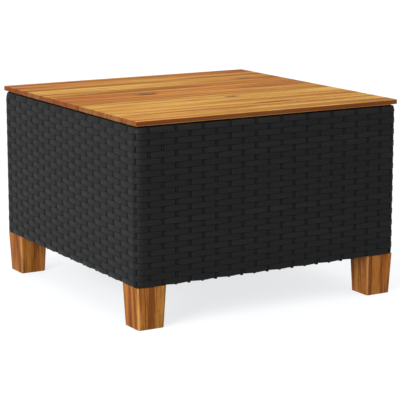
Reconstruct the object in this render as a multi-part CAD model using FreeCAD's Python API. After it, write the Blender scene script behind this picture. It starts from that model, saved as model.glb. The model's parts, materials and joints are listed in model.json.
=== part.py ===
import FreeCAD, Part
import math
import os

# Garden coffee table: an acacia slat top, a woven skin on a welded steel frame, and four acacia legs.
# Millimetres. The origin is on the floor under the table's centre, +X runs along the slats, +Z is up, and
# the front is the -Y side.

# Overall
TOP_SIZE = 550.0
HEIGHT = 370.0

# Slats, which lie side by side across Y
SLAT_COUNT = 10
SLAT_GAP = 2.2
SLAT_THICKNESS = 9.0
SLAT_EDGE_RADIUS = 1.5
SLAT_END_RADIUS = 0.8

# Battens, which cross under the slats
BATTEN_PLACES = {"left": -200.0, "middle": 0.0, "right": 200.0}
BATTEN_WIDTH = 40.0
BATTEN_THICKNESS = 18.0
BATTEN_LENGTH = 490.0
BATTEN_EDGE_RADIUS = 1.5

# Woven skin
SKIN_HALF = 276.0
SKIN_THICKNESS = 5.0
SKIN_BOTTOM = 77.0
SKIN_TOP = 359.0
SKIN_EDGE_RADIUS = 4.0
BORDER_THICKNESS = 3.0
CORNER_GAP = 0.2

# Steel frame
TUBE = 20.0
TUBE_WALL = 1.2
RAIL_CORNER_RADIUS = 2.0
RAIL_END_GAP = 6.0

# Tabs under the batten ends
TAB_WIDTH = 36.0
TAB_LENGTH = 25.0
TAB_THICKNESS = 3.0
TAB_CORNER_RADIUS = 5.0
TAB_HOLE_FROM_RAIL = 15.0
TAB_HOLE_ASIDE = 10.0

# Plates under the frame's corners, which hold the legs
PLATE_SIZE = 58.0
PLATE_THICKNESS = BORDER_THICKNESS
PLATE_CORNER_RADIUS = 4.0

# Legs
LEG_TOP_WIDTH = 58.2
LEG_BOTTOM_WIDTH = 51.2
LEG_OUTER_INSET = 2.6
LEG_EDGE_RADIUS = 4.0
LEG_FOOT_RADIUS = 1.2

# Fasteners. FIT is the clearance round a shank in its hole
FIT = 0.1
SLAT_SCREW = {"length": 23.0, "shank": 2.0, "head": 4.0}
SLAT_SCREW_FROM_BATTEN_END = 13.0
BATTEN_SCREW = {"length": 16.0, "shank": 2.25, "head": 4.5, "head_height": 3.0}
SCREW_POINT = 3.0
BOLT_RADIUS = 4.0
BOLT_IN_LEG = 42.0
BOLT_ABOVE_PLATE = 14.0
BOLT_POINT = 6.0
BOLT_END_CHAMFER = 1.0
BOLT_FROM_LEG_CENTRE = 5.0
PLATE_HOLE_RADIUS = 4.5
WASHER_RADIUS = 8.0
WASHER_THICKNESS = 1.6
NUT_ACROSS_FLATS = 13.0
NUT_HEIGHT = 6.5
NUT_CHAMFER = 0.8

# Worked out from the above
SLAT_WIDTH = (TOP_SIZE - (SLAT_COUNT - 1) * SLAT_GAP) / SLAT_COUNT
SLAT_BOTTOM = HEIGHT - SLAT_THICKNESS
BATTEN_BOTTOM = SLAT_BOTTOM - BATTEN_THICKNESS
FRAME_HALF = SKIN_HALF - SKIN_THICKNESS
RAIL_CENTRE = FRAME_HALF - TUBE / 2
RAIL_INSIDE = FRAME_HALF - TUBE
FRAME_BOTTOM = SKIN_BOTTOM + BORDER_THICKNESS
FRAME_TOP = SKIN_TOP - BORDER_THICKNESS
POST_RADIUS = TUBE / 2
LEG_CENTRE = SKIN_HALF - LEG_OUTER_INSET - LEG_TOP_WIDTH / 2
BOLT_PLACE = LEG_CENTRE - BOLT_FROM_LEG_CENTRE
PLATE_INSIDE = FRAME_HALF - PLATE_SIZE
LEFT_RIGHT = {"left": -1, "right": 1}
FRONT_BACK = {"front": -1, "back": 1}

UP = FreeCAD.Vector(0, 0, 1)
ORIGIN = FreeCAD.Vector(0, 0, 0)


def at(x, y, z):
    return FreeCAD.Vector(x, y, z)


def box(low, high):
    """A box between two corners."""
    return Part.makeBox(high[0] - low[0], high[1] - low[1], high[2] - low[2], at(*low))


def cylinder(radius, x, y, low, high):
    return Part.makeCylinder(radius, high - low, at(x, y, low), UP)


def rounded_rectangle(half_x, half_y, radius, z):
    """A closed outline about the Z axis, with an arc at each corner."""
    edges = []
    ends = []
    for turn, (sx, sy) in enumerate([(1, 1), (-1, 1), (-1, -1), (1, -1)]):
        centre = at(sx * (half_x - radius), sy * (half_y - radius), z)
        points = []
        for step in (0, 45, 90):
            angle = math.radians(90 * turn + step)
            points.append(centre + at(radius * math.cos(angle), radius * math.sin(angle), 0))
        edges.append(Part.Arc(*points).toShape())
        ends.append((points[0], points[2]))
    for number in range(4):
        start = ends[number][1]
        stop = ends[(number + 1) % 4][0]
        edges.append(Part.LineSegment(start, stop).toShape())
    return Part.Wire(Part.__sortEdges__(edges))


def round_edges(solid, radius, wanted):
    """The solid with a fillet on each edge that the function wanted picks."""
    return solid.makeFillet(radius, [edge for edge in solid.Edges if wanted(edge)])


def direction(edge):
    """The unit vector along a straight edge."""
    return (edge.Vertexes[-1].Point - edge.Vertexes[0].Point).normalize()


def turned(shape, degrees):
    """A copy turned about the Z axis."""
    copy = shape.copy()
    copy.rotate(ORIGIN, UP, degrees)
    return copy


def revolved(points):
    """A solid of revolution about the Z axis, from the outline (radius, height) of half its section."""
    corners = [at(radius, 0, height) for radius, height in points]
    face = Part.Face(Part.makePolygon(corners + corners[:1]))
    return face.revolve(ORIGIN, UP, 360)


def save(name, shape):
    """Writes one node's STEP file, and stops if a solid in it is not sound."""
    if not shape.isValid() or not shape.Solids:
        raise ValueError(name + " is not a sound solid")
    shape.exportStep("parts/" + name + ".step")


def slat_screw():
    """A countersunk wood screw, head down: the head's face is at z = 0 and the point is up."""
    head = SLAT_SCREW["head"]
    shank = SLAT_SCREW["shank"]
    length = SLAT_SCREW["length"]
    cone = head - shank
    return revolved([(0, 0), (head, 0), (shank, cone), (shank, length - SCREW_POINT), (0, length)])


def slat_screw_hole():
    """What a slat screw takes out of the wood: the screw with a clearance all round."""
    head = SLAT_SCREW["head"] + FIT
    shank = SLAT_SCREW["shank"] + FIT
    length = SLAT_SCREW["length"] + FIT
    cone = head - shank
    return revolved([(0, -1), (head, -1), (head, 0), (shank, cone), (shank, length), (0, length)])


def batten_screw():
    """A pan-head wood screw, head down: the head's underside bears at z = 0 and the point is up."""
    head = BATTEN_SCREW["head"]
    drop = BATTEN_SCREW["head_height"]
    shank = BATTEN_SCREW["shank"]
    length = BATTEN_SCREW["length"]
    dome = 0.6 * drop
    outline = [(0, -drop), (0.6 * head, -drop), (head, -drop + dome), (head, 0)]
    return revolved(outline + [(shank, 0), (shank, length - SCREW_POINT), (0, length)])


def slat_centres():
    """The centre of every slat, from the front to the back."""
    pitch = SLAT_WIDTH + SLAT_GAP
    return [(number - (SLAT_COUNT - 1) / 2) * pitch for number in range(SLAT_COUNT)]


def screw_row(y):
    """Where the slat centred on y is screwed: on its centre, or further in where the battens end."""
    limit = BATTEN_LENGTH / 2 - SLAT_SCREW_FROM_BATTEN_END
    return max(-limit, min(limit, y))


def make_slat(y):
    """One slat along X, its long edges eased, with a blind hole over each batten."""
    low = (-TOP_SIZE / 2, y - SLAT_WIDTH / 2, SLAT_BOTTOM)
    high = (TOP_SIZE / 2, y + SLAT_WIDTH / 2, HEIGHT)
    slat = box(low, high)
    slat = round_edges(slat, SLAT_EDGE_RADIUS, lambda edge: abs(direction(edge).x) > 0.9)
    slat = round_edges(slat, SLAT_END_RADIUS, lambda edge: edge.BoundBox.XLength < 0.01)
    for x in BATTEN_PLACES.values():
        hole = slat_screw_hole()
        hole.translate(at(x, screw_row(y), BATTEN_BOTTOM))
        slat = slat.cut(hole)
    return slat


def make_batten(x):
    """A batten along Y, with a countersunk hole under each slat and a blind hole over each tab."""
    low = (x - BATTEN_WIDTH / 2, -BATTEN_LENGTH / 2, BATTEN_BOTTOM)
    high = (x + BATTEN_WIDTH / 2, BATTEN_LENGTH / 2, SLAT_BOTTOM)
    batten = round_edges(box(low, high), BATTEN_EDGE_RADIUS, lambda edge: abs(direction(edge).y) > 0.9)
    for y in slat_centres():
        hole = slat_screw_hole()
        hole.translate(at(x, screw_row(y), BATTEN_BOTTOM))
        batten = batten.cut(hole)
    depth = BATTEN_SCREW["length"] - TAB_THICKNESS + FIT
    for side in FRONT_BACK.values():
        place = (x + TAB_HOLE_ASIDE, side * (RAIL_INSIDE - TAB_HOLE_FROM_RAIL))
        hole = cylinder(BATTEN_SCREW["shank"] + FIT, *place, BATTEN_BOTTOM, BATTEN_BOTTOM + depth)
        batten = batten.cut(hole)
    return batten


def make_top():
    """Slats, battens and the screws that join them."""
    for number, y in enumerate(slat_centres(), 1):
        save("slat_%02d" % number, make_slat(y))
    screws = []
    for side, x in BATTEN_PLACES.items():
        save("batten_" + side, make_batten(x))
        for y in slat_centres():
            screw = slat_screw()
            screw.translate(at(x, screw_row(y), BATTEN_BOTTOM))
            screws.append(screw)
    save("slat_screws", Part.makeCompound(screws))


def front_quarter(bottom, height):
    """The quarter of the plan nearer the front than the sides, as a block, for a mitre at each corner."""
    half = 2 * FRAME_HALF
    corners = [at(0, 0, bottom), at(-half, -half, bottom), at(half, -half, bottom), at(0, 0, bottom)]
    return Part.Face(Part.makePolygon(corners)).extrude(at(0, 0, height))


def make_rail(bottom):
    """The front rail of a ring: a square tube along X, its ends cut to sit against the round posts."""
    reach = RAIL_CENTRE - RAIL_END_GAP
    rail = box((-reach, -FRAME_HALF, bottom), (reach, -RAIL_INSIDE, bottom + TUBE))
    rail = round_edges(rail, RAIL_CORNER_RADIUS, lambda edge: abs(direction(edge).x) > 0.9)
    inside = TUBE_WALL
    low = (-reach - 1, -FRAME_HALF + inside, bottom + inside)
    high = (reach + 1, -RAIL_INSIDE - inside, bottom + TUBE - inside)
    rail = rail.cut(box(low, high))
    for side in LEFT_RIGHT.values():
        post = cylinder(POST_RADIUS, side * RAIL_CENTRE, -RAIL_CENTRE, bottom - 1, bottom + TUBE + 1)
        rail = rail.cut(post)
    return rail.common(front_quarter(bottom, TUBE))


def make_frame():
    """The welded frame: a ring of rails at the top and the bottom, and a round post at each corner."""
    turns = {"front": 0, "right": 90, "back": 180, "left": 270}
    for ring, bottom in (("top", FRAME_TOP - TUBE), ("bottom", FRAME_BOTTOM)):
        rail = make_rail(bottom)
        for side, degrees in turns.items():
            save(ring + "_rail_" + side, turned(rail, degrees))
    for front, sy in FRONT_BACK.items():
        for left, sx in LEFT_RIGHT.items():
            place = (sx * RAIL_CENTRE, sy * RAIL_CENTRE, FRAME_BOTTOM, FRAME_TOP)
            post = cylinder(POST_RADIUS, *place).cut(cylinder(POST_RADIUS - TUBE_WALL, *place))
            save("corner_post_" + front + "_" + left, post)


def make_tabs():
    """A tab on a top rail under each end of each batten, and the screw that goes up through it."""
    screws = []
    for front, sy in FRONT_BACK.items():
        for side, x in BATTEN_PLACES.items():
            near = sy * RAIL_INSIDE
            far = sy * (RAIL_INSIDE - TAB_LENGTH)
            low = (x - TAB_WIDTH / 2, min(near, far), BATTEN_BOTTOM - TAB_THICKNESS)
            high = (x + TAB_WIDTH / 2, max(near, far), BATTEN_BOTTOM)
            tab = round_edges(
                box(low, high),
                TAB_CORNER_RADIUS,
                lambda edge: edge.BoundBox.ZLength > 1 and abs(edge.Vertexes[0].Y - far) < 0.01,
            )
            hole_y = sy * (RAIL_INSIDE - TAB_HOLE_FROM_RAIL)
            hole_x = x + TAB_HOLE_ASIDE
            radius = BATTEN_SCREW["shank"] + FIT
            tab = tab.cut(cylinder(radius, hole_x, hole_y, low[2] - 1, high[2] + 1))
            save("batten_tab_" + front + "_" + side, tab)
            screw = batten_screw()
            screw.translate(at(hole_x, hole_y, low[2]))
            screws.append(screw)
    save("batten_screws", Part.makeCompound(screws))


def make_border(bottom, reach):
    """The woven border over or under the rails: four strips, each reaching as far each side of its middle,
    and mitred where they meet."""
    outline = Part.Face(rounded_rectangle(FRAME_HALF, FRAME_HALF, POST_RADIUS, bottom))
    ring = outline.extrude(at(0, 0, BORDER_THICKNESS))
    inside = box((-RAIL_INSIDE, -RAIL_INSIDE, bottom - 1), (RAIL_INSIDE, RAIL_INSIDE, bottom + TUBE))
    ring = ring.cut(inside)
    front = ring.common(front_quarter(bottom, BORDER_THICKNESS))
    front = front.common(box((-reach, -FRAME_HALF, bottom), (reach, 0, bottom + BORDER_THICKNESS)))
    return Part.makeCompound([turned(front, 90 * turn) for turn in range(4)])


def make_skin():
    """The woven skin: a flat panel on each side, a round corner on each post, and the two borders."""
    panel = box((-RAIL_CENTRE, -SKIN_HALF, SKIN_BOTTOM), (RAIL_CENTRE, -FRAME_HALF, SKIN_TOP))
    top_edge = at(0, -SKIN_HALF, SKIN_TOP)
    near = lambda edge: (edge.CenterOfMass - top_edge).Length < 0.01
    panel = round_edges(panel, SKIN_EDGE_RADIUS, near)
    for side, degrees in {"front": 0, "right": 90, "back": 180, "left": 270}.items():
        save("weave_panel_" + side, turned(panel, degrees))
    corner = make_skin_corner()
    places = {"front_left": 0, "front_right": 90, "back_right": 180, "back_left": 270}
    for name, degrees in places.items():
        save("weave_corner_" + name, turned(corner, degrees))
    save("weave_border_top", make_border(FRAME_TOP, FRAME_HALF))
    save("weave_border_bottom", make_border(SKIN_BOTTOM, PLATE_INSIDE))


def make_skin_corner():
    """The front left corner: a quarter of a ring about the post, with the outer top edge rounded."""
    inner = POST_RADIUS + CORNER_GAP
    outer = SKIN_HALF - RAIL_CENTRE
    low = SKIN_BOTTOM
    high = SKIN_TOP
    radius = SKIN_EDGE_RADIUS
    middle = radius * (1 - math.sqrt(0.5))
    side_end = at(outer, 0, high - radius)
    arc_middle = at(outer - middle, 0, high - middle)
    top_end = at(outer - radius, 0, high)
    edges = [
        Part.LineSegment(at(inner, 0, high), at(inner, 0, low)).toShape(),
        Part.LineSegment(at(inner, 0, low), at(outer, 0, low)).toShape(),
        Part.LineSegment(at(outer, 0, low), side_end).toShape(),
        Part.Arc(side_end, arc_middle, top_end).toShape(),
        Part.LineSegment(top_end, at(inner, 0, high)).toShape(),
    ]
    section = Part.Face(Part.Wire(edges))
    section.rotate(ORIGIN, UP, 180)
    corner = section.revolve(ORIGIN, UP, 90)
    corner.translate(at(-RAIL_CENTRE, -RAIL_CENTRE, 0))
    return corner


def make_leg():
    """A leg about the Z axis: a square that narrows to the floor, its edges rounded."""
    squares = []
    for z, width in ((0, LEG_BOTTOM_WIDTH), (SKIN_BOTTOM, LEG_TOP_WIDTH)):
        half = width / 2
        corners = [at(-half, -half, z), at(half, -half, z), at(half, half, z), at(-half, half, z)]
        squares.append(Part.makePolygon(corners + corners[:1]))
    leg = Part.makeLoft(squares, True, True)
    leg = round_edges(leg, LEG_EDGE_RADIUS, lambda edge: abs(direction(edge).z) > 0.9)
    return round_edges(leg, LEG_FOOT_RADIUS, lambda edge: edge.BoundBox.ZMax < 0.01)


def make_legs():
    """Each corner's plate and leg, and the bolt, washer and nut that hold them together."""
    bolts = []
    washers = []
    nuts = []
    for front, sy in FRONT_BACK.items():
        for left, sx in LEFT_RIGHT.items():
            corner = front + "_" + left
            x = sx * BOLT_PLACE
            y = sy * BOLT_PLACE
            leg = make_leg()
            leg.translate(at(sx * LEG_CENTRE, sy * LEG_CENTRE, 0))
            depth = BOLT_IN_LEG + FIT
            leg = leg.cut(cylinder(BOLT_RADIUS + FIT, x, y, SKIN_BOTTOM - depth, SKIN_BOTTOM + 1))
            save("leg_" + corner, leg)
            save("leg_plate_" + corner, make_plate(sx, sy))
            bolts.append(make_bolt(x, y))
            above = SKIN_BOTTOM + PLATE_THICKNESS
            washer = cylinder(WASHER_RADIUS, x, y, above, above + WASHER_THICKNESS)
            hole = cylinder(BOLT_RADIUS + FIT, x, y, above - 1, above + WASHER_THICKNESS + 1)
            washers.append(washer.cut(hole))
            nuts.append(make_nut(x, y, above + WASHER_THICKNESS))
    save("leg_bolts", Part.makeCompound(bolts))
    save("leg_washers", Part.makeCompound(washers))
    save("leg_nuts", Part.makeCompound(nuts))


def make_plate(sx, sy):
    """A corner plate under the frame, round where the post is, with the bolt's clearance hole."""
    plate = box((PLATE_INSIDE, PLATE_INSIDE, SKIN_BOTTOM), (FRAME_HALF, FRAME_HALF, FRAME_BOTTOM))
    for place, radius in ((FRAME_HALF, POST_RADIUS), (PLATE_INSIDE, PLATE_CORNER_RADIUS)):
        corner = at(place, place, (SKIN_BOTTOM + FRAME_BOTTOM) / 2)
        plate = round_edges(plate, radius, lambda edge: (edge.CenterOfMass - corner).Length < 0.01)
    hole = cylinder(PLATE_HOLE_RADIUS, BOLT_PLACE, BOLT_PLACE, SKIN_BOTTOM - 1, FRAME_BOTTOM + 1)
    return turned(plate.cut(hole), math.degrees(math.atan2(sy, sx)) - 45)


def make_bolt(x, y):
    """A hanger bolt: a pointed wood screw below and a machine thread above."""
    low = SKIN_BOTTOM - BOLT_IN_LEG
    high = FRAME_BOTTOM + BOLT_ABOVE_PLATE
    radius = BOLT_RADIUS
    chamfer = BOLT_END_CHAMFER
    outline = [(0, low), (radius, low + BOLT_POINT), (radius, high - chamfer), (radius - chamfer, high)]
    bolt = revolved(outline + [(0, high)])
    bolt.translate(at(x, y, 0))
    return bolt


def make_nut(x, y, bottom):
    """A hexagon nut with its top and bottom corners chamfered."""
    across_corners = NUT_ACROSS_FLATS / math.cos(math.radians(30)) / 2
    corners = []
    for number in range(7):
        angle = math.radians(60 * number)
        corners.append(at(across_corners * math.cos(angle), across_corners * math.sin(angle), 0))
    nut = Part.Face(Part.makePolygon(corners)).extrude(at(0, 0, NUT_HEIGHT))
    flat = across_corners - NUT_CHAMFER
    rise = NUT_CHAMFER * math.tan(math.radians(30))
    lower = [(0, 0), (flat, 0), (across_corners, rise)]
    upper = [(across_corners, NUT_HEIGHT - rise), (flat, NUT_HEIGHT), (0, NUT_HEIGHT)]
    nut = nut.common(revolved(lower + upper))
    nut = nut.cut(cylinder(BOLT_RADIUS + FIT, 0, 0, -1, NUT_HEIGHT + 1))
    nut.translate(at(x, y, bottom))
    return nut


os.makedirs("parts", exist_ok=True)
make_top()
make_frame()
make_tabs()
make_skin()
make_legs()
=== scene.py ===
import json
import math

import bpy
import numpy as np
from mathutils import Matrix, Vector


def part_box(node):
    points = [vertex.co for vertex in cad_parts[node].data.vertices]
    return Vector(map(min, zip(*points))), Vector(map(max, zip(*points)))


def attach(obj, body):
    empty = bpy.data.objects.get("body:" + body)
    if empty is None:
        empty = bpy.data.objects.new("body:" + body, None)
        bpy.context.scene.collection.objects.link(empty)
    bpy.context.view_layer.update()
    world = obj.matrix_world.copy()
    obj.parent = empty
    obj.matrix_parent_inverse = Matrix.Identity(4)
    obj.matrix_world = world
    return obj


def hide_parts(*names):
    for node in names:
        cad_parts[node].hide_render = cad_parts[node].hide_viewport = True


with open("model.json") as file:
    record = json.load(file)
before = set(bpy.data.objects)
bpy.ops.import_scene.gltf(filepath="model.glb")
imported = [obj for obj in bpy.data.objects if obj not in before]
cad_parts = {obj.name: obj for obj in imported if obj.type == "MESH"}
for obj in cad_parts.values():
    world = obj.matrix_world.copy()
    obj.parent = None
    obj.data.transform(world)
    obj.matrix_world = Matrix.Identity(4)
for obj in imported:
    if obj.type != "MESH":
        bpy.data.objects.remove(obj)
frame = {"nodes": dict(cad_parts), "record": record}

# Looks for the coffee table: a skin woven from flat plastic strips, acacia slats and legs, and
# a painted steel frame. Metres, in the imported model's frame: +X runs along the slats, the
# front is the -Y side, and +Z is up.

MM = 0.001
QUARTER_TURN = math.pi / 2
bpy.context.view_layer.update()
NODES = frame["nodes"]
SIDES = ("front", "right", "back", "left")

# The camera, which looks at a point near the table's axis
CAMERA_AZIMUTH = math.radians(-30.37)
CAMERA_ELEVATION = math.radians(11.25)
CAMERA_DISTANCE = 3.234
CAMERA_LENS = 150.1
CAMERA_SENSOR = 36.0
CAMERA_AIM_HEIGHT = 0.1598
CAMERA_AIM_ASIDE = 0.0102

# The studio. The sky is brightest overhead, and the key light stands to the front left
SKY_LOW = 0.8
SKY_HIGH = 1.65
FLOOR_SIZE = 40.0
FLOOR_GLOW = (0.96, 0.98, 1.0)
FLOOR_GLOW_STRENGTH = 0.76
KEY_PLACE = (-3.15, -1.55, 1.25)
KEY_AIM = (0, 0, 0.2)
KEY_WIDTH = 1.8
KEY_HEIGHT = 2.4
KEY_POWER = 210.0

# The CAD pieces that the weave is fitted to
PANEL_LOW, PANEL_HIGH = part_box("weave_panel_front")
POST_LOW, POST_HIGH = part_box("corner_post_front_left")
RAIL_LOW, RAIL_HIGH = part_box("top_rail_front")
POST_INNER = abs(POST_HIGH.x)
PLATE_INNER = abs(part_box("leg_plate_front_left")[1].x)
RAIL_DEPTH = RAIL_HIGH.y - RAIL_LOW.y

# The skin. Its middle surface stands off the frame, and the strips pass in and out of it
SKIN_INSET = 2.1 * MM
SKIN_MARGIN = 1.0 * MM
CORNER_CENTRE = abs(POST_LOW.x + POST_HIGH.x) / 2
SKIN_PLANE = abs(PANEL_LOW.y) - SKIN_INSET
CORNER_RADIUS = SKIN_PLANE - CORNER_CENTRE
QUARTER_ARC = CORNER_RADIUS * QUARTER_TURN
SIDE_LENGTH = 2 * CORNER_CENTRE + QUARTER_ARC
RING_LENGTH = 4 * SIDE_LENGTH
SKIN_FOOT = PANEL_LOW.z + SKIN_MARGIN
SKIN_HEAD = PANEL_HIGH.z - SKIN_MARGIN

# How the skin bends over the top rail and under the bottom rail and round their inner edges,
# how far it clears their inner faces, and how far it goes along those
TOP_BEND = 5.0 * MM
TOP_PLANE = RAIL_HIGH.z + 1.4 * MM
BOTTOM_BEND = 2.0 * MM
BOTTOM_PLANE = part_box("bottom_rail_front")[0].z - 1.35 * MM
WRAP_BEND = 1.5 * MM
WRAP_CLEARANCE = 0.7 * MM
WRAP_DROP = 9.0 * MM

# A strip's section: places across it and out of it, in half widths and in thicknesses, from
# one edge over the outer face to the other. STRIP_MIDDLE is the outer face's middle in uv.
STRIP_THICKNESS = 1.2 * MM
STRIP_CROWN = 0.2 * MM
STRIP_SECTION = (
    (-1.0, -0.3), (-0.86, 0.2), (-0.80, 0.74), (-0.71, 0.94), (-0.55, 0.98), (0.55, 0.98),
    (0.71, 0.94), (0.80, 0.74), (0.86, 0.2), (1.0, -0.3), (0.98, -0.5), (-0.98, -0.5))
STRIP_MIDDLE = 4.5 / len(STRIP_SECTION)

# The stakes, which are the upright strips. STAKE_PHASE is the first one's place on its side,
# and STAKE_WANDER and STAKE_WAVE are how far and how fast a stake strays sideways.
STAKES_PER_SIDE = {"front": 20, "right": 21, "back": 20, "left": 21}
MEAN_STAKES = 20.5
STAKE_PHASE = 0.79
STAKE_WIDTH = 4.7 * MM
STAKE_SWING = 0.55 * MM
# STAKE_DEPTH is how far a whole stake counts as gone in behind, which sets its dullness and
# painted shade
STAKE_DEPTH = 0.45
STAKE_STEPS = 3
STAKE_WANDER = 0.35 * MM
STAKE_WAVE = 0.9
STAKE_WAVE_STARTS = (0, 6.28)
STAKE_TONES = (0.2, 0.5)

# The stakes' ends. A stake stands out by LOOP_OUT round the lowest row. That starts LOOP_START
# above the skin's foot, and grows over LOOP_FADE. The stake runs on under the bottom rail by
# UNDER_RAIL, and up its inner face by WRAP_DROP. Over a leg plate it ends PLATE_GAP above the
# bottom plane instead. At the top it drops down the rail's inner face by WRAP_DROP, or near a
# corner post ends before that face, by POST_WRAP.
LOOP_OUT = 3.0 * MM
LOOP_START = 2 * MM
LOOP_FADE = 3 * MM
UNDER_RAIL = 18 * MM
POST_MARGIN = 3 * MM
POST_WRAP = -6 * MM
PLATE_GAP = 0.4 * MM

# The rows. Each floats over a stake in a low arch and dips in behind the next. DIP_FLAT and
# DIP_REACH are how far from the stake a dip is deepest and ends.
ROW_COUNT = 26
ROW_PITCH = (SKIN_HEAD - SKIN_FOOT) / ROW_COUNT
ROW_WIDTH = ROW_PITCH + 2.0 * MM
ROW_SWING = 1.15 * MM
ROW_JITTER = 0.04 * MM
ROW_WANDER = 0.5 * MM
ROW_TONES = (0.38, 0.56)
ROW_JOINT_GAP = 0.1 * MM
SWING_SPREAD = (0.9, 1.1)
FLOAT_ARCH = 0.55 * MM
DIP_FLAT = 2.0 * MM
DIP_REACH = 4.2 * MM

# The borders, woven over the top rail and under the bottom rail
BORDER_WIDTH = 8.6 * MM
BORDER_SWING = 0.65 * MM
BORDER_OVER = 0.5 * MM
BORDER_UNDER = 1.5 * MM
BORDER_END_GAP = 2 * MM

# Where a row's shape is taken: evenly on its floats, and closer at its dips and the corners
FLOAT_STEP = 6.0 * MM
DIP_PLACES = MM * np.array([
    -5.0, -4.2, -3.7, -3.3, -2.9, -2.5, -2.0, 0, 2.0, 2.5, 2.9, 3.3, 3.7, 4.2, 5.0])
CORNER_STEPS = 12
LEAST_STEP = 0.35 * MM

# The seeds of the random draws, and the parts of the rows' slow wander with their fewest and
# most turns round the ring
WANDER_SEED = 10
ROW_SEED = 11
STAKE_SEED = 12
BORDER_SEED = 13
WANDER_PARTS = 4
WANDER_TURNS = (1, 14)

# In the materials' numbers below, a reach is where something starts and ends in its source,
# and then its strengths there where they are not 0 and 1.

# The black strip. Its tone is its own, its drawn streaks' and its patches' together. Painted
# shade darkens it along its edges, between the rows, and where it goes in behind the others,
# which is also dull.
STRIP_TONES = [
    (0.15, (0.0057, 0.0057, 0.0058)), (0.5, (0.0080, 0.0080, 0.0082)),
    (0.85, (0.0118, 0.0119, 0.0122))]
STRIP_DRAWN = {"scale": (40.0, 28.0, 1.0), "detail": 3.0, "roughness": 0.6}
STRIP_PATCHES = {"scale": 24.0, "detail": 2.0}
DRAWN_GAIN = 0.4
PATCH_GAIN = 0.2
NOISE_SHARE = 0.3
EDGE_SHADE_REACH = (0.06, 0.17)
EDGE_SHADE_TONE = (0.0054, 0.0054, 0.0055)
DULL_AND_SHADE_REACH = (0.25, 0.8)
DIP_SHADE_TONE = (0.0063, 0.0063, 0.0064)
DUST_ROUGHNESS = 0.5
STRIP_ROUGHNESS = (0.46, 0.38)
STRIP_SHINE = 0.044
STRIP_RIBS = 6
RIB_RELIEF = {"distance": 0.05 * MM, "strength": 0.5}
DRAWN_RELIEF = {"distance": 0.12 * MM, "strength": 0.6}

# Where most of a noise's values lie, and its middle
NOISE_RANGE = (0.3, 0.7)
NOISE_MIDDLE = 0.5

# Acacia's tones
GOLD = [(0.20, (0.25, 0.098, 0.014)), (0.50, (0.385, 0.196, 0.035)), (0.78, (0.46, 0.280, 0.065))]
RED = [(0.20, (0.14, 0.033, 0.004)), (0.50, (0.265, 0.073, 0.008)), (0.78, (0.37, 0.122, 0.019))]
END_TONE = (0.082, 0.024, 0.012)
# The tone below is painted shade on the slats' long side faces
SIDE_SHADE_TONE = (0.070, 0.015, 0.006)
# The tone below is a painted highlight on the rounded edges along the grain
EDGE_HIGHLIGHT_TONE = (0.62, 0.32, 0.11)
PORE_TONE = (0.10, 0.035, 0.010)
KNOT_TONE = (0.085, 0.028, 0.006)

# Acacia's grain: each noise's scale along, across and into the board, and its character
WAVES = {"scale": (3.0, 9.0, 9.0), "detail": 2.0}
BANDS = {"scale": (2.2, 62.0, 62.0), "detail": 3.0, "roughness": 0.55, "distortion": 0.25}
STREAKS = {"scale": (7.0, 330.0, 330.0), "detail": 4.0, "roughness": 0.6}
CLOUDS = {"scale": (5.0, 16.0, 16.0), "detail": 2.0}
PORES = {"scale": (55.0, 1500.0, 1500.0), "detail": 1.0}
GRAIN_ORDER = {"X": (0, 1, 2), "Y": (1, 0, 2), "Z": (2, 0, 1)}
BOARD_SHIFT = (3.17, 1.31, 2.23)
WAVE_HEIGHT = 0.022
BAND_GAIN = 2.1
STREAK_GAIN = 1.25
CLOUD_GAIN = 0.65
CLOUD_REDNESS = 0.18
KNOT_PUSH = 2.2
KNOT_STRENGTH = 0.95
HALF_SLAT = abs(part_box("slat_01")[0].x)

# Acacia's finish: its pores, its knots' cores, a painted highlight on its rounded edges, its
# gloss and its relief
PORE_REACH = (0.30, 0.42, 0.55, 0.0)
CORE_REACH = (0.25, 1.3, 1.0, 0.0)
HIGHLIGHT_START, HIGHLIGHT_FULL = 0.12, 0.42
HIGHLIGHT_PATCHES = (0.35, 0.65, 0.55, 1.0)
WOOD_ROUGHNESS = (0.68, 0.52)
WOOD_SHINE = 0.02
WOOD_EDGE_HIGHLIGHT = 0.3
STREAK_RELIEF = {"distance": 0.25 * MM, "strength": 0.6}
PORE_RELIEF = {"distance": -0.15 * MM, "strength": 0.6}

# Each slat's redness at its left end, its middle and its right end, and its knots
SLATS = {
    "slat_10": ((0.86, 0.60, 0.78), ()),
    "slat_09": ((0.85, 0.25, 0.55), ()),
    "slat_08": ((0.00, 0.05, 0.65), ((0.198, 0.140, 0.022, 0.007),)),
    "slat_07": ((0.45, 0.62, 0.78), ()),
    "slat_06": ((0.98, 0.76, 0.68), ((-0.094, 0.020, 0.024, 0.009),)),
    "slat_05": ((0.85, 0.60, 0.38), ()),
    "slat_04": ((-0.15, -0.10, -0.05), ((0.030, -0.086, 0.022, 0.006),)),
    "slat_03": ((0.30, 0.12, 0.50), ()),
    "slat_02": ((0.15, 0.32, 0.20), ((0.058, -0.186, 0.050, 0.006),)),
    "slat_01": ((0.50, 0.15, 0.30), ()),
}
# How far the slats' ends take their own tone, and how far painted shade darkens their long side
# faces
SLAT_END_TONE_AND_SIDE_SHADE = (0.82, 0.9)

# Each leg's redness and shade, and the battens'. A shade darkens the whole board; the legs'
# shades differ partly as painted shade, the back left leg's most. LEG_STREAK is how strong a
# leg's grain is.
LEGS = {
    "front_left": (0.80, 0.60),
    "front_right": (0.92, 0.57),
    "back_left": (0.85, 0.55),
    "back_right": (0.75, 0.57),
}
LEG_STREAK = 1.3
LEG_SHINE = 0.07
# How strong the painted highlight on the legs' rounded edges is
LEG_EDGE_HIGHLIGHT = 0.5
BATTEN_REDNESS = (0.5, 0.6, 0.5)
BATTEN_SHADE = 0.75

# The first seed of each kind of board
SLAT_SEED = 1
LEG_SEED = 21
BATTEN_SEED = 31

# The Mix node's sockets when it mixes colours
MIX_FACTOR, MIX_FIRST, MIX_SECOND, MIX_RESULT = 0, 6, 7, 2


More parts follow.
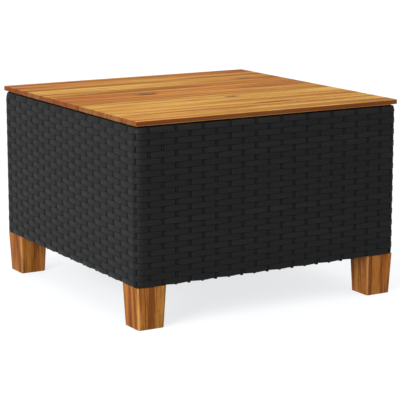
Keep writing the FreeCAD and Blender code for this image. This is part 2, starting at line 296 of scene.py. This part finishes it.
class Graph:
    """Short calls that build one material's nodes."""

    def __init__(self, name):
        self.material = bpy.data.materials.new(name)
        self.material.use_nodes = True
        self.tree = self.material.node_tree
        self.shader = self.tree.nodes["Principled BSDF"]

    def node(self, kind, **settings):
        made = self.tree.nodes.new("ShaderNode" + kind)
        for key, value in settings.items():
            setattr(made, key, value)
        return made

    def put(self, socket, value):
        """Links a socket to another node's output, or sets its own value."""
        if isinstance(value, bpy.types.NodeSocket):
            self.tree.links.new(value, socket)
        elif socket.type == "RGBA":
            socket.default_value = (*value, 1.0)
        else:
            socket.default_value = value

    def surface(self, name, value):
        """Links or sets one of the shader's own sockets."""
        self.put(self.shader.inputs[name], value)

    def math(self, operation, first, second=0.0, third=0.0, clamp=False):
        made = self.node("Math", operation=operation, use_clamp=clamp)
        for socket, value in zip(made.inputs, (first, second, third)):
            self.put(socket, value)
        return made.outputs[0]

    def split(self, vector):
        """A vector's x, y and z."""
        made = self.node("SeparateXYZ")
        self.put(made.inputs[0], vector)
        return made.outputs

    def join(self, parts):
        """A vector from its x, y and z."""
        made = self.node("CombineXYZ")
        for socket, value in zip(made.inputs, parts):
            self.put(socket, value)
        return made.outputs[0]

    def noise(self, vector, scale, detail, roughness=0.5, distortion=0.0):
        made = self.node("TexNoise")
        self.put(made.inputs["Vector"], vector)
        made.inputs["Scale"].default_value = scale
        made.inputs["Detail"].default_value = detail
        made.inputs["Roughness"].default_value = roughness
        made.inputs["Distortion"].default_value = distortion
        return made.outputs["Fac"]

    def grain(self, vector, scale, shift=(0.0, 0.0, 0.0), **character):
        """Noise with its own scale along each axis, moved aside by shift."""
        made = self.node("Mapping")
        self.put(made.inputs["Vector"], vector)
        made.inputs["Scale"].default_value = scale
        made.inputs["Location"].default_value = shift
        return self.noise(made.outputs[0], 1.0, **character)

    def ramp(self, factor, stops):
        """A colour ramp from a list of (place, colour)."""
        made = self.node("ValToRGB")
        elements = made.color_ramp.elements
        while len(elements) < len(stops):
            elements.new(0.5)
        for element, (place, colour) in zip(elements, stops):
            element.position = place
            element.color = (*colour, 1.0)
        self.put(made.inputs["Fac"], factor)
        return made.outputs["Color"]

    def span(self, value, low, high, out_low=0.0, out_high=1.0):
        """Maps low..high to out_low..out_high, and holds the ends."""
        made = self.node("MapRange", clamp=True)
        for socket, item in zip(made.inputs, (value, low, high, out_low, out_high)):
            self.put(socket, item)
        return made.outputs[0]

    def mix(self, factor, first, second, blend="MIX"):
        made = self.node("Mix", data_type="RGBA", blend_type=blend)
        self.put(made.inputs[MIX_FACTOR], factor)
        self.put(made.inputs[MIX_FIRST], first)
        self.put(made.inputs[MIX_SECOND], second)
        return made.outputs[MIX_RESULT]

    def bump(self, height, distance, strength, under=None):
        made = self.node("Bump")
        made.inputs["Distance"].default_value = distance
        made.inputs["Strength"].default_value = strength
        self.put(made.inputs["Height"], height)
        if under is not None:
            self.put(made.inputs["Normal"], under)
        return made.outputs[0]

    def place(self):
        """The place on the object, in metres."""
        return self.node("TexCoord").outputs["Object"]

    def attribute(self, name):
        return self.node("Attribute", attribute_name=name).outputs["Fac"]


# Materials

def bend_round_knots(graph, along, across, bent, knots):
    """Pushes the grain aside round each knot, and marks the knots' dark cores."""
    cores = 0.0
    for place_along, place_across, length, width in knots:
        reach = graph.math("MULTIPLY", graph.math("SUBTRACT", along, place_along), 1.0 / length)
        aside = graph.math("MULTIPLY", graph.math("SUBTRACT", across, place_across), 1.0 / width)
        reach = graph.math("MULTIPLY", reach, reach)
        far = graph.math("ADD", reach, graph.math("MULTIPLY", aside, aside))
        falling = graph.math("ADD", 1.0, graph.math("MULTIPLY", far, far))
        near = graph.math("DIVIDE", 1.0, falling)
        bent = graph.math("MULTIPLY_ADD", near, KNOT_PUSH * width, bent)
        cores = graph.math("MAXIMUM", cores, graph.span(far, *CORE_REACH))
    return bent, cores


def wood_tone(graph, bands, streaks, clouds, streak):
    """How light the wood is, about one half, from bands, fine streaks and broad clouds."""
    middle = NOISE_MIDDLE - NOISE_MIDDLE * BAND_GAIN * streak
    tone = graph.math("MULTIPLY_ADD", bands, BAND_GAIN * streak, middle)
    fine = graph.math("SUBTRACT", streaks, NOISE_MIDDLE)
    tone = graph.math("MULTIPLY_ADD", fine, STREAK_GAIN * streak, tone)
    broad = graph.math("SUBTRACT", clouds, NOISE_MIDDLE)
    return graph.math("MULTIPLY_ADD", broad, CLOUD_GAIN, tone)


def wood_redness(graph, along, clouds, redness):
    """From gold, 0, to red, 1: it changes along the board, and a little from cloud to cloud."""
    low, middle, high = redness
    reach = graph.span(along, -HALF_SLAT, 0.0, low, middle)
    reach = graph.math("ADD", reach, graph.span(along, 0.0, HALF_SLAT, 0.0, high - middle))
    cloudy = graph.span(clouds, *NOISE_RANGE, -CLOUD_REDNESS, CLOUD_REDNESS)
    return graph.math("ADD", reach, cloudy, clamp=True)


def wood_edges(graph, colour, order, streaks, edges, edge_highlight):
    """Gives the ends their own tone, darkens the long side faces with painted shade, and paints a
    pale highlight on the rounded edges.
    """
    facing = graph.split(graph.node("TexCoord").outputs["Normal"])
    # The ends take their own tone, and painted shade darkens the long side faces
    for number, amount, end_tone_and_side_shade in zip(order, edges, (END_TONE, SIDE_SHADE_TONE)):
        side = graph.math("ABSOLUTE", facing[number])
        side = graph.math("MULTIPLY", graph.math("MULTIPLY", side, side), amount)
        colour = graph.mix(side, colour, end_tone_and_side_shade)
    # A painted highlight pales the rounded edges along the grain, in patches along them
    rounded = graph.math("MULTIPLY", facing[order[1]], facing[order[2]])
    painted_highlight = graph.span(graph.math("ABSOLUTE", rounded), HIGHLIGHT_START, HIGHLIGHT_FULL, 0.0, edge_highlight)
    painted_highlight = graph.math("MULTIPLY", painted_highlight, graph.span(streaks, *HIGHLIGHT_PATCHES))
    return graph.mix(painted_highlight, colour, EDGE_HIGHLIGHT_TONE)


def wood(name, grain, seed, redness, knots=(), shade=1.0, streak=1.0, edges=(0.0, 0.0),
         shine=WOOD_SHINE, edge_highlight=WOOD_EDGE_HIGHLIGHT):
    """Acacia with its grain along one axis, X, Y or Z. redness is its tone at the low end of
    that axis, the middle and the high end, and a knot is (along, across, length, width). streak
    is how strong the grain is. edges is how far the ends take their own tone and how far painted
    shade darkens the long edges, and edge_highlight is how strong the painted highlight on the
    rounded edges along the grain is."""
    graph = Graph(name)
    order = GRAIN_ORDER[grain]
    axes = graph.split(graph.place())
    along, across, deep = (axes[number] for number in order)
    shift = tuple(seed * step for step in BOARD_SHIFT)
    waves = graph.grain(graph.join((along, across, deep)), shift=shift, **WAVES)
    bent = graph.math("MULTIPLY_ADD", waves, WAVE_HEIGHT, across)
    bent, cores = bend_round_knots(graph, along, across, bent, knots)
    flow = graph.join((along, bent, deep))
    bands = graph.grain(flow, shift=shift, **BANDS)
    streaks = graph.grain(flow, shift=shift, **STREAKS)
    clouds = graph.grain(flow, shift=shift, **CLOUDS)
    pores = graph.span(graph.grain(flow, shift=shift, **PORES), *PORE_REACH)
    tone = wood_tone(graph, bands, streaks, clouds, streak)
    red = wood_redness(graph, along, clouds, redness)
    colour = graph.mix(red, graph.ramp(tone, GOLD), graph.ramp(tone, RED))
    colour = graph.mix(pores, colour, PORE_TONE)
    if knots:
        colour = graph.mix(graph.math("MULTIPLY", cores, KNOT_STRENGTH), colour, KNOT_TONE)
    colour = wood_edges(graph, colour, order, streaks, edges, edge_highlight)
    colour = graph.mix(1.0, colour, (shade, shade, shade), "MULTIPLY")
    graph.surface("Base Color", colour)
    graph.surface("Roughness", graph.span(streaks, *NOISE_RANGE, *WOOD_ROUGHNESS))
    graph.surface("Specular IOR Level", shine)
    relief = graph.bump(streaks, **STREAK_RELIEF)
    graph.surface("Normal", graph.bump(pores, **PORE_RELIEF, under=relief))
    return graph.material


def strip_plastic():
    """Black plastic strip: each strip's own tone, fine ribs along it, a soft uneven sheen,
    painted shade along its edges, and a dull face darkened by painted shade where it goes in
    behind the others."""
    graph = Graph("strip_plastic")
    strip = graph.node("UVMap", uv_map="strip").outputs[0]
    across = graph.split(strip)[1]
    # Where the strip goes in behind the others it is dull, and painted shade darkens it there
    dust = graph.span(graph.attribute("depth"), *DULL_AND_SHADE_REACH)
    ribs = graph.math("SINE", graph.math("MULTIPLY", across, 2 * math.pi * STRIP_RIBS))
    drawn = graph.grain(strip, **STRIP_DRAWN)
    patches = graph.noise(graph.place(), **STRIP_PATCHES)
    tone = graph.math("MULTIPLY_ADD", patches, PATCH_GAIN, graph.attribute("tone"))
    tone = graph.math("MULTIPLY_ADD", drawn, DRAWN_GAIN, tone)
    tone = graph.math("SUBTRACT", tone, NOISE_SHARE)
    colour = graph.ramp(tone, STRIP_TONES)
    # Painted shade: the strip is darker towards its edges, in the grooves between the rows
    aside = graph.math("ABSOLUTE", graph.math("SUBTRACT", across, STRIP_MIDDLE))
    colour = graph.mix(graph.span(aside, *EDGE_SHADE_REACH), colour, EDGE_SHADE_TONE)
    graph.surface("Base Color", graph.mix(dust, colour, DIP_SHADE_TONE))
    sheen = graph.span(tone, 0.0, 1.0, *STRIP_ROUGHNESS)
    graph.surface("Roughness", graph.math("MULTIPLY_ADD", dust, DUST_ROUGHNESS, sheen))
    graph.surface("Specular IOR Level", STRIP_SHINE)
    relief = graph.bump(ribs, **RIB_RELIEF)
    graph.surface("Normal", graph.bump(drawn, **DRAWN_RELIEF, under=relief))
    return graph.material


def powder_coat():
    """Black paint on steel, with a powder coat's fine orange peel and a cloudy film of dust."""
    graph = Graph("powder_coat")
    place = graph.place()
    peel = graph.noise(place, scale=900.0, detail=2.0)
    dust = graph.noise(place, scale=35.0, detail=4.0, roughness=0.65)
    tones = [(0.35, (0.012, 0.012, 0.013)), (0.75, (0.030, 0.030, 0.031))]
    graph.surface("Base Color", graph.ramp(dust, tones))
    graph.surface("Roughness", graph.span(dust, *NOISE_RANGE, out_low=0.42, out_high=0.58))
    graph.surface("Normal", graph.bump(peel, distance=0.08 * MM, strength=0.5))
    return graph.material


def zinc():
    """Zinc-plated steel: cloudy grey metal."""
    graph = Graph("zinc")
    clouds = graph.noise(graph.place(), scale=180.0, detail=3.0)
    tones = [(0.3, (0.42, 0.41, 0.38)), (0.7, (0.62, 0.61, 0.58))]
    graph.surface("Base Color", graph.ramp(clouds, tones))
    graph.surface("Metallic", 1.0)
    graph.surface("Roughness", graph.span(clouds, *NOISE_RANGE, out_low=0.28, out_high=0.45))
    graph.surface("Normal", graph.bump(clouds, distance=0.03 * MM, strength=0.4))
    return graph.material


def lit_floor():
    """A white floor that glows a little, as a studio's light table does."""
    graph = Graph("lit_floor")
    clouds = graph.noise(graph.place(), scale=1.5, detail=2.0)
    tones = [(0.3, (0.195, 0.195, 0.195)), (0.7, (0.205, 0.205, 0.205))]
    graph.surface("Base Color", graph.ramp(clouds, tones))
    graph.surface("Roughness", 0.9)
    graph.surface("Specular IOR Level", 0.1)
    graph.surface("Emission Color", FLOOR_GLOW)
    graph.surface("Emission Strength", FLOOR_GLOW_STRENGTH)
    return graph.material


# The weave's geometry. A point of the skin is (around, up, out): the way round the ring from
# the front left corner, the way up the skin and over its top, and the distance out of its
# middle surface.

def skin_section(up, out):
    """The skin's upright section, as the distance out from the skin's plane, and the height.
    Past each end it bends onto the rail, runs level across it, turns down its inner face, and
    goes on along that."""
    up, out = np.broadcast_arrays(np.asarray(up, float), np.asarray(out, float))
    away = out.copy()
    height = up.copy()
    rail_out = SKIN_PLANE + RAIL_LOW.y
    wrap_arc = WRAP_BEND * QUARTER_TURN
    bends = (
        (1, TOP_PLANE - TOP_BEND, TOP_BEND),
        (-1, BOTTOM_PLANE + BOTTOM_BEND, BOTTOM_BEND))
    for sign, start, radius in bends:
        past = sign * (up - start)
        arc = radius * QUARTER_TURN
        flat = RAIL_DEPTH + rail_out - radius - WRAP_BEND + WRAP_CLEARANCE
        plane = start + sign * radius
        bent = (past > 0) & (past <= arc)
        angle = past / radius
        away = np.where(bent, -radius + (radius + out) * np.cos(angle), away)
        height = np.where(bent, start + sign * (radius + out) * np.sin(angle), height)
        level = (past > arc) & (past <= arc + flat)
        away = np.where(level, -radius - (past - arc), away)
        height = np.where(level, plane + sign * out, height)
        turning = (past > arc + flat) & (past <= arc + flat + wrap_arc)
        angle = (past - arc - flat) / WRAP_BEND
        turn = WRAP_BEND + out
        away = np.where(turning, -radius - flat - turn * np.sin(angle), away)
        fall = plane - sign * WRAP_BEND
        height = np.where(turning, fall + sign * turn * np.cos(angle), height)
        inside = past > arc + flat + wrap_arc
        away = np.where(inside, -radius - flat - WRAP_BEND - out, away)
        drop = WRAP_BEND + past - arc - flat - wrap_arc
        height = np.where(inside, plane - sign * drop, height)
    return away, height


def skin_point(around, up, out):
    """Points of the skin in space, as an array with x, y and z last."""
    away, height = skin_section(up, out)
    around, away, height = np.broadcast_arrays(np.asarray(around, float), away, height)
    side = np.floor(around / SIDE_LENGTH)
    across = around - (side + 0.5) * SIDE_LENGTH
    over = np.clip(np.abs(across) - CORNER_CENTRE, 0.0, None)
    angle = np.sign(across) * over / CORNER_RADIUS
    radius = CORNER_RADIUS + away
    x = np.clip(across, -CORNER_CENTRE, CORNER_CENTRE) + radius * np.sin(angle)
    y = -CORNER_CENTRE - radius * np.cos(angle)
    turn = side * QUARTER_TURN
    turned_x = x * np.cos(turn) - y * np.sin(turn)
    turned_y = x * np.sin(turn) + y * np.cos(turn)
    return np.stack([turned_x, turned_y, height], -1)


def stake_places():
    """The place of every stake round the ring, and the number of each side's last stake."""
    places = []
    last = []
    for number, side in enumerate(SIDES):
        count = STAKES_PER_SIDE[side]
        pitch = SIDE_LENGTH / count
        places += [number * SIDE_LENGTH + (STAKE_PHASE + step) * pitch for step in range(count)]
        last.append(len(places) - 1)
    return np.array(places), last


def row_height(row):
    return SKIN_HEAD - (row + 0.5) * ROW_PITCH


def slow_wave(seed):
    """A gentle random wave round the ring, from -1 to 1, which meets itself."""
    random = np.random.default_rng(seed)
    turns = random.integers(*WANDER_TURNS, WANDER_PARTS)
    phases = random.uniform(0, 2 * math.pi, WANDER_PARTS)

    def wave(around):
        around = np.asarray(around, float)[..., None]
        angle = 2 * math.pi * turns * around / RING_LENGTH + phases
        return np.sin(angle).sum(-1) / WANDER_PARTS

    return wave


WANDER = slow_wave(WANDER_SEED)


class Strips:
    """Collects swept strips into one mesh."""

    def __init__(self):
        self.points = []
        self.faces = []
        self.uvs = []
        self.tones = []
        self.depths = []
        self.count = 0

    def add(self, grid, length, tone, depth):
        """A closed strip from a grid of points, one row per section. length is each section's
        way along, and depth is how far it has gone in behind the others, from 0 to 1. uv is
        the way along, and the way round the section from 0 to 1."""
        sections, ring = grid.shape[:2]
        base = self.count
        self.points.append(grid.reshape(-1, 3))
        self.tones.append(np.full(sections * ring, tone))
        self.depths.append(np.repeat(depth, ring))
        steps = np.arange(sections - 1)[:, None] * ring
        corner = np.arange(ring)[None, :]
        after = (corner + 1) % ring
        quads = [steps + corner, steps + ring + corner, steps + ring + after, steps + after]
        self.faces += (np.stack(quads, -1).reshape(-1, 4) + base).tolist()
        share = np.linspace(0.0, 1.0, ring + 1)
        for step in range(sections - 1):
            for number in range(ring):
                near, far = share[number], share[number + 1]
                self.uvs += [(length[step], near), (length[step + 1], near)]
                self.uvs += [(length[step + 1], far), (length[step], far)]
        for start, order in ((base, 1), (base + (sections - 1) * ring, -1)):
            self.faces.append([start + number for number in range(ring)][::order])
            self.uvs += [(length[0], 0.5)] * ring
        self.count += sections * ring

    def finish(self, name, material, node):
        """Makes the piece, which rides on the table and stands for that CAD node."""
        mesh = bpy.data.meshes.new(name)
        mesh.from_pydata(np.concatenate(self.points).tolist(), [], self.faces)
        layer = mesh.uv_layers.new(name="strip")
        layer.data.foreach_set("uv", np.array(self.uvs, np.float32).ravel())
        for label, values in (("tone", self.tones), ("depth", self.depths)):
            attribute = mesh.attributes.new(label, "FLOAT", "POINT")
            attribute.data.foreach_set("value", np.concatenate(values).astype(np.float32))
        mesh.validate()
        mesh.shade_smooth()
        mesh.materials.append(material)
        piece = bpy.data.objects.new(name, mesh)
        bpy.context.scene.collection.objects.link(piece)
        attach(piece, "root")
        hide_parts(node)


def section_of(width):
    """A strip's section, crowned on its outer face, as widths across and heights out."""
    across = np.array([point[0] for point in STRIP_SECTION]) * width / 2
    out = np.array([point[1] for point in STRIP_SECTION])
    top = STRIP_THICKNESS / 2 + STRIP_CROWN
    return across, np.where(out > 0, out * top, out * STRIP_THICKNESS)


def row_places(stakes, row, start, stop):
    """The places where a row's shape is taken."""
    dips = stakes[(np.arange(len(stakes)) + row) % 2 == 0]
    dips = np.concatenate([dips, dips - RING_LENGTH])[:, None] + DIP_PLACES
    bends = np.linspace(-QUARTER_ARC, QUARTER_ARC, CORNER_STEPS + 1) / 2
    corners = (np.arange(-1, 5) * SIDE_LENGTH)[:, None] + bends
    floats = np.arange(start, stop, FLOAT_STEP)
    places = np.concatenate([floats, dips.ravel(), corners.ravel()])
    places = np.unique(places[(places > start + LEAST_STEP) & (places < stop - LEAST_STEP)])
    apart = np.diff(places) > LEAST_STEP
    return np.concatenate([[start], places[:-1][apart], places[-1:], [stop]])


def swing(around, stakes, row, strength):
    """How far a row stands out at each place: out over one stake, in behind the next."""
    count = len(stakes)
    ring = np.concatenate([stakes[-1:] - RING_LENGTH, stakes, stakes[:1] + RING_LENGTH])
    numbers = np.arange(-1, count + 1)
    phase = np.interp(np.mod(around, RING_LENGTH), ring, numbers)
    size = np.interp(np.mod(around, RING_LENGTH), ring, strength[numbers % count])
    nearest = np.round((phase + row) / 2) * 2
    away = np.abs(phase + row - nearest) * SIDE_LENGTH / MEAN_STAKES
    depth = np.clip((DIP_REACH - away) / (DIP_REACH - DIP_FLAT), 0, 1)
    dip = depth * depth * (3 - 2 * depth)
    arch = FLOAT_ARCH * np.cos(math.pi * (phase + row)) * (1 - dip)
    return size * (1 - 2 * dip) - arch


def weave_row(strips, random, stakes, row, start, stop, height, width, amplitude):
    """One strip of a row, from one hidden joint to the next."""
    strength = random.uniform(*SWING_SPREAD, len(stakes)) * amplitude
    around = row_places(stakes, row, start + ROW_JOINT_GAP, stop - ROW_JOINT_GAP)
    out = swing(around, stakes, row, strength)
    across, thick = section_of(width)
    up = height + across[None, :] + ROW_WANDER * WANDER(around)[:, None]
    grid = skin_point(around[:, None], up, out[:, None] + thick[None, :])
    depth = np.clip(0.5 - out / amplitude / 2, 0, 1)
    strips.add(grid, around, random.uniform(*ROW_TONES), depth)


def row_ends(stakes, last, side, row):
    """Where a row starts and stops on a side: behind the last stake of the side before, and
    the last stake of its own, that it passes behind."""
    behind = [stakes[stake if (stake + row) % 2 == 0 else stake - 1]
              for stake in (last[side - 1], last[side])]
    return behind[0] - (RING_LENGTH if side == 0 else 0), behind[1]


def make_rows(material, stakes, last):
    """The woven rows, one piece for each side, joined end to end behind a stake near each
    corner."""
    random = np.random.default_rng(ROW_SEED)
    jitter = random.normal(0, ROW_JITTER, ROW_COUNT)
    for number, side in enumerate(SIDES):
        strips = Strips()
        for row in range(ROW_COUNT):
            start, stop = row_ends(stakes, last, number, row)
            height = row_height(row) + jitter[row]
            weave_row(strips, random, stakes, row, start, stop, height, ROW_WIDTH, ROW_SWING)
        strips.finish("weave_rows_" + side, material, "weave_panel_" + side)


def stake_span(aside):
    """Where a stake ends below and above. aside is its distance from the side's middle."""
    level = TOP_BEND * (QUARTER_TURN - 1) + RAIL_DEPTH
    near_post = aside > POST_INNER - POST_MARGIN
    over_plate = aside > PLATE_INNER - STAKE_WIDTH
    top = TOP_PLANE + level + (POST_WRAP if near_post else WRAP_DROP)
    bottom = BOTTOM_PLANE + PLATE_GAP if over_plate else BOTTOM_PLANE - UNDER_RAIL - WRAP_DROP
    return bottom, top


def make_stakes(material, stakes):
    """The upright strips, which the rows pass in front of and behind, and which wrap both
    rails."""
    random = np.random.default_rng(STAKE_SEED)
    across, thick = section_of(STAKE_WIDTH)
    corners = {"front": "front_right", "right": "back_right", "back": "back_left",
               "left": "front_left"}
    first = 0
    for number, side in enumerate(SIDES):
        strips = Strips()
        for stake in range(first, first + STAKES_PER_SIDE[side]):
            place = stakes[stake]
            bottom, top = stake_span(abs(place - (number + 0.5) * SIDE_LENGTH))
            steps = round((top - bottom) / ROW_PITCH * STAKE_STEPS)
            up = np.linspace(bottom, top, steps + 1)
            phase = math.pi * ((row_height(0) - up) / ROW_PITCH + stake)
            loop = np.clip((SKIN_FOOT + LOOP_START - up) / LOOP_FADE, 0, 1)
            out = (1 - loop) * STAKE_SWING * np.cos(phase) + loop * LOOP_OUT
            wave = up / ROW_PITCH * STAKE_WAVE + random.uniform(*STAKE_WAVE_STARTS)
            shift = STAKE_WANDER * np.sin(wave)
            around = place + across[None, :] + shift[:, None]
            grid = skin_point(around, up[:, None], out[:, None] + thick[None, :])
            depth = np.full(len(up), STAKE_DEPTH)
            strips.add(grid[:, ::-1], up, random.uniform(*STAKE_TONES), depth)
        first += STAKES_PER_SIDE[side]
        strips.finish("weave_stakes_" + side, material, "weave_corner_" + corners[side])


def make_borders(material, stakes, last):
    """A strip woven over the top rails, and one under the bottom rails between the legs."""
    random = np.random.default_rng(BORDER_SEED)
    top = Strips()
    bottom = Strips()
    over = TOP_PLANE - TOP_BEND + TOP_BEND * QUARTER_TURN + BORDER_OVER
    bend = BOTTOM_PLANE + BOTTOM_BEND - BOTTOM_BEND * QUARTER_TURN
    under = bend - BORDER_WIDTH / 2 - BORDER_UNDER
    reach = PLATE_INNER - BORDER_END_GAP
    size = (BORDER_WIDTH, BORDER_SWING)
    for number in range(len(SIDES)):
        start, stop = row_ends(stakes, last, number, -1)
        weave_row(top, random, stakes, -1, start, stop, over, *size)
        middle = (number + 0.5) * SIDE_LENGTH
        start, stop = middle - reach, middle + reach
        weave_row(bottom, random, stakes, ROW_COUNT, start, stop, under, *size)
    top.finish("weave_top_edge", material, "weave_border_top")
    bottom.finish("weave_bottom_edge", material, "weave_border_bottom")


def make_weave():
    material = strip_plastic()
    stakes, last = stake_places()
    make_rows(material, stakes, last)
    make_stakes(material, stakes)
    make_borders(material, stakes, last)


# The CAD pieces that stay as they are, with their materials

def finish_node(name, material):
    NODES[name].data.materials.clear()
    NODES[name].data.materials.append(material)


def finish_slats():
    for seed, (name, (redness, knots)) in enumerate(SLATS.items(), SLAT_SEED):
        finish_node(name, wood("acacia_" + name, "X", seed, redness, knots, edges=SLAT_END_TONE_AND_SIDE_SHADE))


def finish_legs():
    for seed, (corner, (tone, shade)) in enumerate(LEGS.items(), LEG_SEED):
        material = wood("acacia_leg_" + corner, "Z", seed, (tone, tone, tone), shade=shade,
                        streak=LEG_STREAK, shine=LEG_SHINE, edge_highlight=LEG_EDGE_HIGHLIGHT)
        finish_node("leg_" + corner, material)


def finish_hidden():
    """The battens, the steel frame and the fasteners."""
    for seed, place in enumerate(("left", "middle", "right"), BATTEN_SEED):
        name = "batten_" + place
        finish_node(name, wood("acacia_" + name, "Y", seed, BATTEN_REDNESS, shade=BATTEN_SHADE))
    finishes = {"frame_steel": powder_coat(), "zinc_fasteners": zinc()}
    for item in frame["record"]["subparts"]:
        if item["material_slot"] in finishes:
            finish_node(item["node"], finishes[item["material_slot"]])


# The studio

def make_floor():
    mesh = bpy.data.meshes.new("floor")
    ways = ((-1, -1), (1, -1), (1, 1), (-1, 1))
    corners = [(x * FLOOR_SIZE, y * FLOOR_SIZE, 0) for x, y in ways]
    mesh.from_pydata(corners, [], [(0, 1, 2, 3)])
    mesh.materials.append(lit_floor())
    floor = bpy.data.objects.new("floor", mesh)
    bpy.context.scene.collection.objects.link(floor)


def make_key_light():
    """A soft light that faces the table."""
    data = bpy.data.lights.new("key", "AREA")
    data.shape = "RECTANGLE"
    data.size = KEY_WIDTH
    data.size_y = KEY_HEIGHT
    data.energy = KEY_POWER
    light = bpy.data.objects.new("key", data)
    light.location = KEY_PLACE
    ahead = Vector(KEY_AIM) - Vector(KEY_PLACE)
    light.rotation_euler = ahead.to_track_quat("-Z", "Y").to_euler()
    bpy.context.scene.collection.objects.link(light)


def make_sky():
    world = bpy.data.worlds.new("studio")
    world.use_nodes = True
    nodes = world.node_tree.nodes
    links = world.node_tree.links
    nodes["Background"].inputs["Color"].default_value = (1.0, 1.0, 1.0, 1.0)
    axes = nodes.new("ShaderNodeSeparateXYZ")
    links.new(nodes.new("ShaderNodeTexCoord").outputs["Generated"], axes.inputs[0])
    sky = nodes.new("ShaderNodeMapRange")
    for socket, value in zip(sky.inputs, (0.0, 0.0, 1.0, SKY_LOW, SKY_HIGH)):
        socket.default_value = value
    links.new(axes.outputs[2], sky.inputs[0])
    links.new(sky.outputs[0], nodes["Background"].inputs["Strength"])
    bpy.context.scene.world = world


def make_studio():
    bpy.context.scene.view_settings.view_transform = "Standard"
    make_sky()
    make_floor()
    make_key_light()


def make_camera():
    data = bpy.data.cameras.new("camera")
    data.lens = CAMERA_LENS
    data.sensor_width = CAMERA_SENSOR
    camera = bpy.data.objects.new("camera", data)
    flat = Vector((-math.sin(CAMERA_AZIMUTH), math.cos(CAMERA_AZIMUTH), 0))
    aside = Vector((math.cos(CAMERA_AZIMUTH), math.sin(CAMERA_AZIMUTH), 0))
    ahead = flat * math.cos(CAMERA_ELEVATION) - Vector((0, 0, math.sin(CAMERA_ELEVATION)))
    aim = aside * CAMERA_AIM_ASIDE + Vector((0, 0, CAMERA_AIM_HEIGHT))
    camera.location = aim - ahead * CAMERA_DISTANCE
    camera.rotation_euler = ahead.to_track_quat("-Z", "Y").to_euler()
    bpy.context.scene.collection.objects.link(camera)
    bpy.context.scene.camera = camera


make_camera()
make_studio()
make_weave()
finish_slats()
finish_legs()
finish_hidden()
